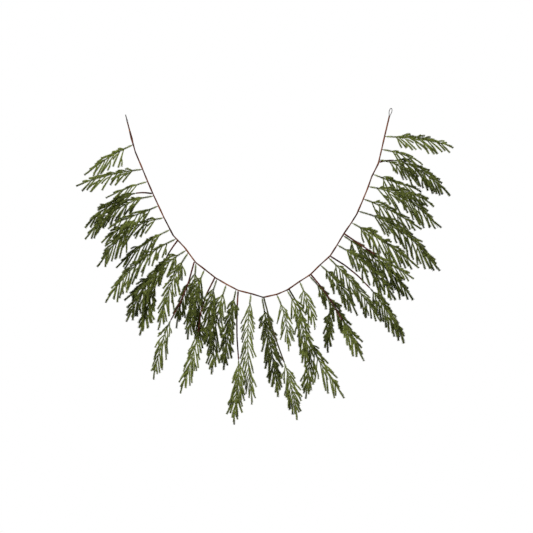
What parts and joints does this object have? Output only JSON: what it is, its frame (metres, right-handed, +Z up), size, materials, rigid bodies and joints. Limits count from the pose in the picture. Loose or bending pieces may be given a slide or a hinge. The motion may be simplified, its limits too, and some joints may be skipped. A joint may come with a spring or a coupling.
{
  "type": "artificial door garland",
  "caption": "Swag of drooping needled green sprays and twigs on a paper-wrapped wire stem, hung between two small wire loops.",
  "frame": {"origin": "the underside of the wire at the top of the left loop, where its hook bears", "axes": "+X to the right along the swag as seen from its front, +Y from the front to the wall behind, +Z up"},
  "size_m": [1.4172, 0.1601, 1.1881],
  "materials": {
    "loop_wire": "dull, lightly oxidised wire",
    "core_wire": "dull wire",
    "paper_wrap": "matt, creased along its twist",
    "twig_bark": "matt",
    "needles": "matt to satin"
  },
  "bodies": {
    "root": {"loop_left": "loop_wire", "loop_right": "loop_wire", "spray_00": "needles", "spray_02": "needles", "spray_03": "needles", "spray_04": "needles", "spray_05": "needles", "spray_06": "needles", "spray_07": "needles", "spray_08": "needles", "spray_09": "needles", "spray_09_low": "needles", "spray_10": "needles", "spray_11": "needles", "spray_12": "needles", "spray_13": "needles", "spray_14": "needles", "spray_15": "needles", "spray_16": "needles", "spray_17": "needles", "spray_18": "needles", "spray_19": "needles", "spray_20": "needles", "spray_21": "needles", "spray_22": "needles", "spray_23": "needles", "spray_24": "needles", "spray_25": "needles", "spray_26": "needles", "spray_27": "needles", "spray_28": "needles", "spray_29": "needles", "spray_30": "needles", "spray_31": "needles", "spray_32": "needles", "stem_wire": "core_wire", "stem_wrap_left": "paper_wrap", "stem_wrap_right": "paper_wrap", "tip_spray_04": "needles", "tip_spray_08": "needles", "tip_spray_10": "needles", "tip_spray_12": "needles", "tip_spray_14": "needles", "tip_spray_16": "needles", "tip_spray_18": "needles", "tip_spray_20": "needles", "tip_spray_22": "needles", "tip_spray_24": "needles", "tip_spray_30": "needles", "twig_04": "twig_bark", "twig_08": "twig_bark", "twig_10": "twig_bark", "twig_12": "twig_bark", "twig_14": "twig_bark", "twig_16": "twig_bark", "twig_18": "twig_bark", "twig_20": "twig_bark", "twig_22": "twig_bark", "twig_24": "twig_bark", "twig_30": "twig_bark"}
  },
  "joints": []
}
